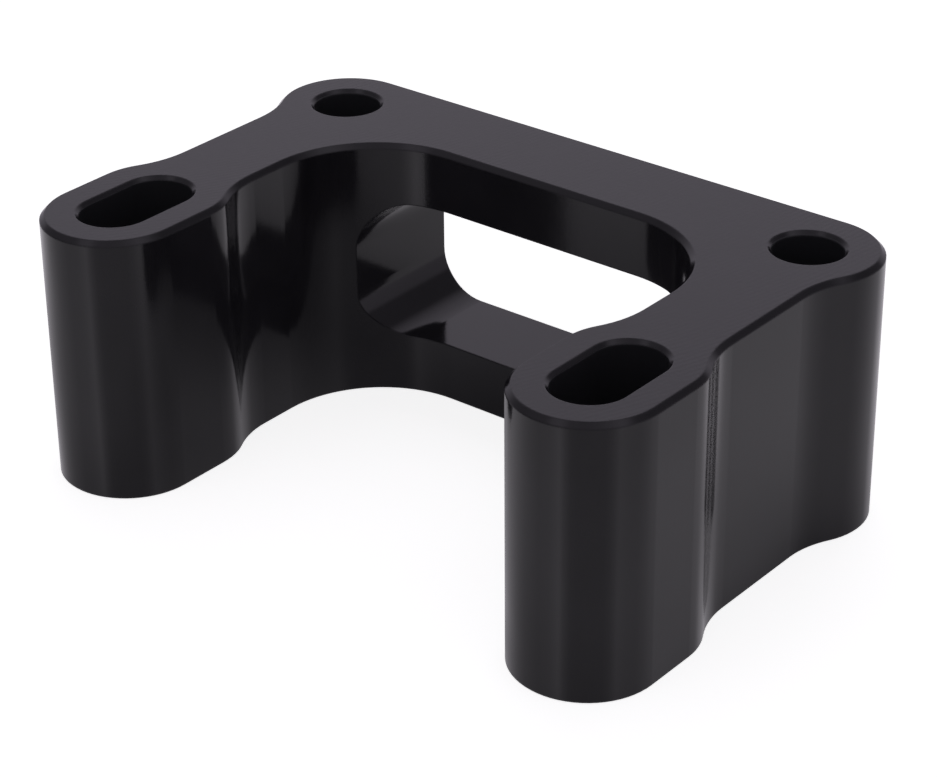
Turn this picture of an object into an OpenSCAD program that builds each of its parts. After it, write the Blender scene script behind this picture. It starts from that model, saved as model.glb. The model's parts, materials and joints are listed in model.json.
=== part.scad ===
// Handlebar riser: one block of aluminium, milled to a U in plan, that lifts a handlebar clamp.
// The origin is midway between the two rear bolt holes, on the base. +X runs along the rear bar
// from hole to hole, +Y points at the closed rear side of the U, and +Z is up. Sizes are in
// millimetres.

/* [Bolt pattern] */
// Distance between the two rear bolt holes, side to side
bolt_span = 102; // [90:1:130]
// Distance from the rear bolt holes forward to the middle of the front slots
slot_reach = 55.8; // [52:0.2:80]
// Diameter of the two rear bolt holes
hole_d = 12.3; // [8:0.1:15]
// Width of the two front slots
slot_w = 12.5; // [8:0.1:15]
// Distance that a bolt can slide along a front slot
slot_travel = 10.2; // [4:0.2:14]

/* [Block] */
// Height of the block, which is how far it lifts the handlebar
rise = 50; // [42:1:70]
// Radius of the four bosses round the bolt holes and slots
boss_r = 13; // [11:0.5:16]
// Width of the two necks that join the front bosses to the rear bar
neck_w = 18; // [14:0.5:21]
// Radius of the fillets where a neck swells into a boss
neck_fillet_r = 18; // [10:1:20]
// Depth of the rear bar, from the wall of the bay to the rear face
bar_depth = 20; // [16:0.5:24]
// Radius of the two rear corners of the bay between the necks
bay_corner_r = 21; // [12:1:24]

/* [Window] */
// Width of the window through the rear bar
window_w = 74; // [50:0.2:78]
// Height of the window
window_h = 27; // [18:0.1:29]
// Radius of the window's corners
window_corner_r = 8.9; // [4:0.1:8.9]
// Height of the window's sill above the base
window_sill = 11.3; // [6:0.1:12]

/* [Edges] */
// Chamfer along the edges of the top face
top_chamfer = 0.9; // [0.4:0.1:1.5]
// Broken edge round the base, and at the foot of the bolt holes and slots
base_chamfer = 0.2; // [0.1:0.1:0.5]
// Chamfer at the top of the bolt holes and slots
rim_chamfer = 0.7; // [0.3:0.1:1.2]
// Chamfer round the window at the rear face; its edge at the bay is sharp
window_chamfer = 2; // [0.4:0.1:2.5]

/* [Hidden] */
anodised_black = [0.10, 0.10, 0.11];
// How far a cutter runs past the face that it cuts
over = 2;
$fn = 120;

arm_x = bolt_span / 2;
slot_rear_y = -slot_reach + slot_travel / 2;
bar_mid_y = boss_r - bar_depth / 2;
bay_side_x = arm_x - neck_w / 2;
bay_wall_y = boss_r - bar_depth;
bay_corner = [bay_side_x - bay_corner_r, bay_wall_y - bay_corner_r];
// A neck fillet touches the neck's side and the boss's circle, so its centre is this far off
fillet_dx = neck_w / 2 + neck_fillet_r;
fillet_dy = sqrt(pow(boss_r + neck_fillet_r, 2) - pow(fillet_dx, 2));
window_mid_z = window_sill + window_h / 2;
window_corner = [window_w / 2 - window_corner_r, window_h / 2 - window_corner_r];

// Half outline of a solid wall that stands r from its middle, with both its edges chamfered
function wall_side(r) = [
    [0, 0],
    [r - base_chamfer, 0],
    [r, base_chamfer],
    [r, rise - top_chamfer],
    [r - top_chamfer, rise],
    [0, rise]
];

// Half outline of a cutter of half width r that flares by rim_top and rim_base at its two ends
function cut_side(r, rim_top, rim_base) = [
    [0, -over],
    [r + rim_base + over, -over],
    [r, rim_base],
    [r, rise - rim_top],
    [r + rim_top + over, rise + over],
    [0, rise + over]
];

// Half outline of the window's cutter, from the rear face, where it flares, into the bay
function window_side(r) = [
    [0, -over],
    [r + window_chamfer + over, -over],
    [r, window_chamfer],
    [r, boss_r - bay_corner[1]],
    [0, boss_r - bay_corner[1]]
];

// A half outline turned about its axis
module turned(side) {
    rotate_extrude() polygon(side);
}

// A half outline and its mirror image, run from the origin along -Y
module straight(side, length) {
    rotate([90, 0, 0]) linear_extrude(length) {
        polygon(side);
        mirror([1, 0]) polygon(side);
    }
}

// A half outline taken round a slot, whose rear centre is at the origin
module slotted(side, travel) {
    turned(side);
    translate([0, -travel, 0]) turned(side);
    straight(side, travel);
}

// Web between a boss at the origin and a neck that runs along -Y, hollowed to its fillet
module neck_web() {
    difference() {
        linear_extrude(rise) polygon([[0, 0], [fillet_dx, -fillet_dy], [0, -fillet_dy]]);
        translate([fillet_dx, -fillet_dy, 0])
            turned(cut_side(neck_fillet_r, top_chamfer, base_chamfer));
    }
}

// Web in the corner between the rear bar and a neck, hollowed to the corner of the bay
module bay_web() {
    difference() {
        translate([bay_corner[0], bay_corner[1], 0])
            cube([arm_x - bay_corner[0], -bay_corner[1], rise]);
        translate([bay_corner[0], bay_corner[1], 0])
            turned(cut_side(bay_corner_r, top_chamfer, base_chamfer));
    }
}

// One arm of the U: the rear boss, the neck, the slotted front boss and the webs between them
module arm() {
    translate([arm_x, 0, 0]) {
        turned(wall_side(boss_r));
        straight(wall_side(neck_w / 2), -slot_rear_y);
        neck_web();
    }
    translate([arm_x, slot_rear_y, 0]) {
        slotted(wall_side(boss_r), slot_travel);
        mirror([0, 1, 0]) neck_web();
        rotate([0, 0, 180]) neck_web();
    }
    bay_web();
}

// The bar across the rear, whose rear face is level with the rear bosses
module rear_bar() {
    translate([arm_x, bar_mid_y, 0])
        rotate([0, 0, -90])
            straight(wall_side(bar_depth / 2), bolt_span);
}

module bolt_holes() {
    translate([arm_x, 0, 0]) turned(cut_side(hole_d / 2, rim_chamfer, base_chamfer));
    translate([arm_x, slot_rear_y, 0])
        slotted(cut_side(slot_w / 2, rim_chamfer, base_chamfer), slot_travel);
}

// The window's opening: its four corners turned, and two runs across between them
module window_opening() {
    translate([0, boss_r, window_mid_z]) rotate([90, 0, 0]) {
        for (x = [-1, 1], z = [-1, 1])
            translate([x * window_corner[0], z * window_corner[1], 0])
                turned(window_side(window_corner_r));
        translate([0, window_corner[1], 0])
            straight(window_side(window_w / 2), 2 * window_corner[1]);
        translate([-window_corner[0], 0, 0])
            rotate([0, 0, 90])
                straight(window_side(window_h / 2), 2 * window_corner[0]);
    }
}

module riser_block() {
    color(anodised_black) difference() {
        union() {
            rear_bar();
            arm();
            mirror([1, 0, 0]) arm();
        }
        bolt_holes();
        mirror([1, 0, 0]) bolt_holes();
        window_opening();
    }
}

riser_block();
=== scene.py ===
import json
import math

import bmesh
import bpy
from mathutils import Matrix, Vector

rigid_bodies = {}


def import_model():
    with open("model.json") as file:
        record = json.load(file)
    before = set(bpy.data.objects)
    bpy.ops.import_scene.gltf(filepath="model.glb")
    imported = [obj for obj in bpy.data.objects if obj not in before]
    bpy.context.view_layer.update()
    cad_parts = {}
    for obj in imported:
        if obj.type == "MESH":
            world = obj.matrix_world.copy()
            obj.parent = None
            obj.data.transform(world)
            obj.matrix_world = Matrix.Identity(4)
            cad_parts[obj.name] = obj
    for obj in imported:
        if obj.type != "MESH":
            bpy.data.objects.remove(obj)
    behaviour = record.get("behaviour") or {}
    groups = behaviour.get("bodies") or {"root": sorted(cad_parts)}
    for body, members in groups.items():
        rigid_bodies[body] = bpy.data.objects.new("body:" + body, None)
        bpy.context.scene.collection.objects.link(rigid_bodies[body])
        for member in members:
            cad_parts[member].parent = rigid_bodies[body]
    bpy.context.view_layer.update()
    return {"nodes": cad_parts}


for leftover in list(bpy.data.objects):
    bpy.data.objects.remove(leftover)

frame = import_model()

MM = 0.001
BLOCK = frame["nodes"]["riser_block"]

# The block's height and its bolt holes and slots, in millimetres
RISE = 50
BOLT_X = 51
SLOT_ENDS_Y = (-50.7, -60.9)
BORE_R = 6.3

# The photograph's frame, and the camera that was fitted to the block's outline in it
PHOTO_WIDTH = 937
CAMERA_AZIMUTH = 0.6840006
CAMERA_ELEVATION = 0.4947779
CAMERA_ROLL = -0.0094934
CAMERA_DISTANCE = 0.50887
CAMERA_FOCUS = (-0.0061176, -0.02, 0.012728)
FOCAL_PIXELS = 2835.74
SENSOR_WIDTH = 36.0

# Brightness of the studio round the block by compass direction, from the table up to the
# ceiling: (degrees from +X towards +Y, brightness)
TABLE_RING = [
    (-180, 0.74), (-165, 0.60), (-150, 0.52), (-125, 0.485), (-108, 0.57), (-100, 0.65),
    (-93, 0.76), (-86, 0.53), (-78, 0.38), (-68, 0.35), (-30, 0.345), (-20, 0.42), (-10, 0.60),
    (5, 0.51), (20, 0.455), (35, 0.47), (60, 0.53), (72, 0.53), (84, 0.73), (95, 0.72),
    (120, 0.66), (155, 0.84), (170, 0.80), (180, 0.74),
]
HORIZON_RING = [
    (-180, 0.40), (-162, 0.28), (-145, 0.10), (-28, 0.10), (-8, 0.36), (8, 0.48), (30, 0.38),
    (60, 0.32), (100, 0.45), (180, 0.40),
]
WALL_RING = [
    (-180, 0.26), (-172, 0.22), (-160, 0.22), (-145, 0.28), (-125, 0.32), (-30, 0.32), (0, 0.26),
    (30, 0.20), (45, 0.16), (75, 0.15), (92, 0.45), (105, 0.57), (135, 0.58), (150, 0.55),
    (165, 0.42), (180, 0.26),
]
CEILING_RING = [
    (-180, 0.25), (-130, 0.30), (-118, 0.56), (-104, 0.60), (-90, 0.38), (-60, 0.35), (-30, 0.40),
    (-10, 0.50), (5, 0.62), (18, 0.56), (35, 0.30), (60, 0.30), (100, 0.50), (130, 0.55),
    (160, 0.40), (180, 0.25),
]
OVERHEAD_LIGHT = 0.10

# Degrees above the horizon between which a ring, or the dark overhead, takes over from below
HORIZON_FADE = (-16, -10)
WALL_FADE = (10, 18)
CEILING_FADE = (44, 53)
OVERHEAD_FADE = (66, 76)

PAPER_TINT = (1.005, 0.96, 1.035)
CLOTH_TINT = (1.0, 0.93, 1.07)

# Patches of shade on the table, in millimetres: middle x and y, half width and half depth of
# the core, width of the soft rim, and the share of light that is left in the core
SHADE_PATCHES = [
    (15, -3, 22, 0, 44, 0.37),
    (-32, -24, 67, 22, 66, 0.53),
    (46, -36, 4, 24, 18, 0.45),
]

# The anodised skin: its darkest and palest tone, the bores' paler tone with painted bounced light
# in it, and how dull each part is
DARK_SKIN = (0.0105, 0.0101, 0.0117, 1)
PALE_SKIN = (0.0160, 0.0154, 0.0178, 1)
BORE_PAINTED_LIGHT = (0.027, 0.028, 0.030, 1)
WALL_ROUGHNESS = 0.11
FACE_ROUGHNESS = 0.22
BORE_ROUGHNESS = 0.32
# How much the clouds and the grain change that dullness
CLOUD_DULLING = 0.06
GRAIN_DULLING = 0.09

# What counts as the top or the base: how near its level a point lies, in millimetres, and
# the upright share of the normal between which a surface becomes level
FACE_DEPTH = 0.1
FACE_TILT = (0.80, 0.98)

# Sizes of the marks in the skin, in millimetres
CLOUD_SIZE = 16
GRAIN_SIZE = 0.7
STREAK_WIDTH = 0.6
MILL_RING_PITCH = 1.1
MILL_CENTRE = (-190, 40)
MARK_HEIGHT = 0.035
EDGE_ROUNDING = 0.45

# Share of the grain and the cutter streaks in the relief: (on the walls, on the top and base)
GRAIN_SHARE = (0.12, 0.9)
STREAK_SHARE = (0.12, 0.0)
# Share of the mill's rings on the top and base: (where they are faint, where they are clear)
MILL_RING_SHARE = (0.04, 0.22)
# Values of the clouds between which the rings turn from faint to clear
MILL_RING_CLOUDS = (0.40, 0.62)

# Length of one ring of Blender's wave texture at scale 1
WAVE_LENGTH = 0.314


class Wiring:
    """Adds nodes to a node tree and joins them up."""

    def __init__(self, tree):
        self.tree = tree

    def add(self, kind, **settings):
        node = self.tree.nodes.new(kind)
        for name, value in settings.items():
            setattr(node, name, value)
        return node

    def join(self, source, target):
        self.tree.links.new(source, target)

    def feed(self, socket, value):
        if isinstance(value, bpy.types.NodeSocket):
            self.join(value, socket)
        else:
            socket.default_value = value

    def split(self, vector):
        node = self.add("ShaderNodeSeparateXYZ")
        self.join(vector, node.inputs[0])
        return node.outputs

    def math(self, operation, *values):
        node = self.add("ShaderNodeMath", operation=operation)
        for socket, value in zip(node.inputs, values):
            self.feed(socket, value)
        return node.outputs[0]

    def vector(self, operation, *values):
        node = self.add("ShaderNodeVectorMath", operation=operation)
        for socket, value in zip(node.inputs, values):
            self.feed(socket, value)
        return node.outputs["Value" if operation == "LENGTH" else "Vector"]

    def ease(self, value, low, high, from_value=0.0, to_value=1.0):
        node = self.add("ShaderNodeMapRange", interpolation_type="SMOOTHSTEP")
        sockets = ("Value", "From Min", "From Max", "To Min", "To Max")
        for name, v in zip(sockets, (value, low, high, from_value, to_value)):
            self.feed(node.inputs[name], v)
        return node.outputs[0]

    def mix(self, share, a, b, kind="FLOAT"):
        node = self.add("ShaderNodeMix", data_type=kind)
        first, result = {"FLOAT": (2, 0), "RGBA": (6, 2)}[kind]
        self.feed(node.inputs[0], share)
        self.feed(node.inputs[first], a)
        self.feed(node.inputs[first + 1], b)
        return node.outputs[result]

    def ramp(self, value, stops):
        node = self.add("ShaderNodeValToRGB")
        ramp = node.color_ramp
        while len(ramp.elements) > 1:
            ramp.elements.remove(ramp.elements[-1])
        ramp.elements[0].position, ramp.elements[0].color = stops[0]
        for place, colour in stops[1:]:
            ramp.elements.new(place).color = colour
        self.feed(node.inputs[0], value)
        return node.outputs[0]


def tinted(light, tint):
    return tuple(light * t for t in tint) + (1,)


def photo_camera():
    """The camera that sees the block as the photograph does."""
    az, el = CAMERA_AZIMUTH, CAMERA_ELEVATION
    back = Vector((math.sin(az) * math.cos(el), -math.cos(az) * math.cos(el), math.sin(el)))
    right = Vector((math.cos(az), math.sin(az), 0.0))
    up = back.cross(right)
    turned_right = math.cos(CAMERA_ROLL) * right + math.sin(CAMERA_ROLL) * up
    turned_up = math.cos(CAMERA_ROLL) * up - math.sin(CAMERA_ROLL) * right
    data = bpy.data.cameras.new("photo_camera")
    data.sensor_width = SENSOR_WIDTH
    data.lens = FOCAL_PIXELS / PHOTO_WIDTH * SENSOR_WIDTH
    data.clip_start = 0.01
    data.clip_end = 20.0
    camera = bpy.data.objects.new("photo_camera", data)
    place = Matrix((turned_right, turned_up, back)).transposed().to_4x4()
    place.translation = Vector(CAMERA_FOCUS) + back * CAMERA_DISTANCE
    camera.matrix_world = place
    bpy.context.scene.collection.objects.link(camera)
    bpy.context.scene.camera = camera


def studio_air():
    """Four rings of soft light and a dark overhead, which the camera itself sees as white."""
    world = bpy.data.worlds.new("studio_air")
    world.use_nodes = True
    tree = world.node_tree
    tree.nodes.clear()
    w = Wiring(tree)
    direction = w.split(w.add("ShaderNodeTexCoord").outputs["Generated"])
    compass = w.math("ARCTAN2", direction["Y"], direction["X"])
    turn = w.math("MULTIPLY_ADD", compass, 0.5 / math.pi, 0.5)
    height = w.math("ARCSINE", direction["Z"])

    def ring(stops, tint):
        return w.ramp(turn, [((angle + 180) / 360, tinted(light, tint)) for angle, light in stops])

    def risen(start, end):
        return w.ease(height, math.radians(start), math.radians(end))

    light = ring(TABLE_RING, PAPER_TINT)
    light = w.mix(risen(*HORIZON_FADE), light, ring(HORIZON_RING, CLOTH_TINT), "RGBA")
    light = w.mix(risen(*WALL_FADE), light, ring(WALL_RING, CLOTH_TINT), "RGBA")
    light = w.mix(risen(*CEILING_FADE), light, ring(CEILING_RING, CLOTH_TINT), "RGBA")
    light = w.mix(risen(*OVERHEAD_FADE), light, tinted(OVERHEAD_LIGHT, CLOTH_TINT), "RGBA")
    sky = w.add("ShaderNodeBackground")
    w.join(light, sky.inputs["Color"])
    paper = w.add("ShaderNodeBackground")
    paper.inputs["Color"].default_value = (1, 1, 1, 1)
    rays = w.add("ShaderNodeLightPath")
    either = w.add("ShaderNodeMixShader")
    w.join(rays.outputs["Is Camera Ray"], either.inputs[0])
    w.join(sky.outputs[0], either.inputs[1])
    w.join(paper.outputs[0], either.inputs[2])
    out = w.add("ShaderNodeOutputWorld")
    w.join(either.outputs[0], out.inputs[0])
    bpy.context.scene.world = world


def plane(name, size, z):
    """A level square of the studio, under the block."""
    mesh = bpy.data.meshes.new(name)
    shape = bmesh.new()
    bmesh.ops.create_grid(shape, x_segments=1, y_segments=1, size=size / 2)
    bmesh.ops.translate(shape, verts=shape.verts, vec=(0, 0, z))
    shape.to_mesh(mesh)
    shape.free()
    made = bpy.data.objects.new(name, mesh)
    bpy.context.scene.collection.objects.link(made)
    return made


def pale_floor():
    """The paper that the block stands on, as the camera sees it."""
    floor = plane("pale_floor", 6.0, -0.02 * MM)
    floor.visible_glossy = False
    floor.visible_diffuse = False
    floor.visible_shadow = False
    material = bpy.data.materials.new("pale_paper")
    material.use_nodes = True
    shader = material.node_tree.nodes["Principled BSDF"]
    shader.inputs["Base Color"].default_value = (0.87, 0.9, 0.84, 1)
    shader.inputs["Roughness"].default_value = 0.9
    shader.inputs["Specular IOR Level"].default_value = 0.0
    shader.inputs["Emission Color"].default_value = (1, 1, 1, 1)
    shader.inputs["Emission Strength"].default_value = 0.80
    floor.data.materials.append(material)


def table_shade():
    """The soft shade that the block throws on the table, which its own walls mirror."""
    shade = plane("table_shade", 1.0, -0.04 * MM)
    shade.visible_camera = False
    shade.visible_diffuse = False
    shade.visible_shadow = False
    material = bpy.data.materials.new("table_shade")
    material.use_nodes = True
    tree = material.node_tree
    tree.nodes.clear()
    w = Wiring(tree)
    place = w.add("ShaderNodeTexCoord").outputs["Object"]

    def soft_box(x, y, half_x, half_y, rim, darkest):
        shift = w.vector("SUBTRACT", place, (x * MM, y * MM, 0))
        past = w.vector("SUBTRACT", w.vector("ABSOLUTE", shift), (half_x * MM, half_y * MM, 1))
        away = w.vector("LENGTH", w.vector("MAXIMUM", past, (0, 0, 0)))
        return w.ease(away, 0, rim * MM, darkest, 1)

    light = 1.0
    for patch in SHADE_PATCHES:
        light = w.math("MULTIPLY", light, soft_box(*patch))
    clear = w.add("ShaderNodeBsdfTransparent")
    w.join(light, clear.inputs["Color"])
    out = w.add("ShaderNodeOutputMaterial")
    w.join(clear.outputs[0], out.inputs["Surface"])
    shade.data.materials.append(material)


def anodised_aluminium():
    """Black anodised aluminium: satin and grained, with faint cutter marks and soft edges."""
    material = bpy.data.materials.new("black_anodised_aluminium")
    material.use_nodes = True
    tree = material.node_tree
    w = Wiring(tree)
    shader = tree.nodes["Principled BSDF"]
    place = w.add("ShaderNodeTexCoord").outputs["Object"]
    facing = w.split(w.add("ShaderNodeNewGeometry").outputs["True Normal"])
    where = w.split(place)

    # One on the top and the base, nought on the walls, the chamfers and inside the window
    from_mid = w.math("ABSOLUTE", w.math("SUBTRACT", where["Z"], RISE / 2 * MM))
    outer = w.math("GREATER_THAN", from_mid, (RISE / 2 - FACE_DEPTH) * MM)
    flat = w.math("MULTIPLY", outer, w.ease(w.math("ABSOLUTE", facing["Z"]), *FACE_TILT))

    def noise(feature, detail, rough, stretch=(1, 1, 1)):
        node = w.add("ShaderNodeTexNoise")
        w.join(w.vector("MULTIPLY", place, stretch), node.inputs["Vector"])
        node.inputs["Scale"].default_value = 1 / (feature * MM)
        node.inputs["Detail"].default_value = detail
        node.inputs["Roughness"].default_value = rough
        return node.outputs["Fac"]

    clouds = noise(CLOUD_SIZE, 4, 0.6)
    grain = noise(GRAIN_SIZE, 3, 0.75)
    # Upright streaks that the cutter left on the walls
    streaks = noise(STREAK_WIDTH, 3, 0.7, (1, 1, 0.02))

    # Rings that the face mill left on the top and the base, as it crossed the block
    mill_rings = w.add("ShaderNodeTexWave", wave_type="RINGS", rings_direction="Z")
    mill_middle = (MILL_CENTRE[0] * MM, MILL_CENTRE[1] * MM, 0)
    w.join(w.vector("SUBTRACT", place, mill_middle), mill_rings.inputs["Vector"])
    mill_rings.inputs["Scale"].default_value = WAVE_LENGTH / (MILL_RING_PITCH * MM)
    mill_rings.inputs["Distortion"].default_value = 0.6
    mill_rings.inputs["Detail"].default_value = 1

    # The bores are duller, and painted paler: painted light that stands in for light bounced about
    # inside them
    folded = w.add("ShaderNodeCombineXYZ")
    w.join(w.math("ABSOLUTE", where["X"]), folded.inputs["X"])
    w.join(where["Y"], folded.inputs["Y"])

    def off_middle(rear_y, front_y):
        """Distance from the middle line of a hole or slot, the left ones folded onto the right."""
        nearest = w.add("ShaderNodeCombineXYZ")
        nearest.inputs["X"].default_value = BOLT_X * MM
        not_past_front = w.math("MAXIMUM", where["Y"], front_y * MM)
        w.join(w.math("MINIMUM", not_past_front, rear_y * MM), nearest.inputs["Y"])
        return w.vector("LENGTH", w.vector("SUBTRACT", folded.outputs[0], nearest.outputs[0]))

    to_bore = w.math("MINIMUM", off_middle(0, 0), off_middle(*SLOT_ENDS_Y))
    bore = w.math("LESS_THAN", to_bore, BORE_R * MM)
    tone = w.ramp(clouds, [(0.3, DARK_SKIN), (0.7, PALE_SKIN)])
    # Painted light: the bores get a paler base colour in place of the light that bounces inside
    # them
    w.join(w.mix(bore, tone, BORE_PAINTED_LIGHT, "RGBA"), shader.inputs["Base Color"])

    def varied(value, marks, amount):
        return w.math("ADD", value, w.math("MULTIPLY", w.math("SUBTRACT", marks, 0.5), amount))

    satin = w.mix(flat, WALL_ROUGHNESS, FACE_ROUGHNESS)
    satin = w.mix(bore, satin, BORE_ROUGHNESS)
    satin = varied(varied(satin, clouds, CLOUD_DULLING), grain, GRAIN_DULLING)
    w.join(satin, shader.inputs["Roughness"])
    shader.inputs["IOR"].default_value = 1.5

    height = w.math("MULTIPLY", grain, w.mix(flat, *GRAIN_SHARE))
    height = w.math("ADD", height, w.math("MULTIPLY", streaks, w.mix(flat, *STREAK_SHARE)))
    clear = w.math("MULTIPLY", flat, w.ease(clouds, *MILL_RING_CLOUDS, *MILL_RING_SHARE))
    height = w.math("ADD", height, w.math("MULTIPLY", mill_rings.outputs["Fac"], clear))
    rounded = w.add("ShaderNodeBevel", samples=4)
    rounded.inputs["Radius"].default_value = EDGE_ROUNDING * MM
    relief = w.add("ShaderNodeBump")
    relief.inputs["Strength"].default_value = 1.0
    relief.inputs["Distance"].default_value = MARK_HEIGHT * MM
    w.join(height, relief.inputs["Height"])
    w.join(rounded.outputs[0], relief.inputs["Normal"])
    w.join(relief.outputs[0], shader.inputs["Normal"])
    return material


photo_camera()
studio_air()
pale_floor()
table_shade()
BLOCK.data.materials.clear()
BLOCK.data.materials.append(anodised_aluminium())
bpy.context.scene.view_settings.view_transform = "Standard"
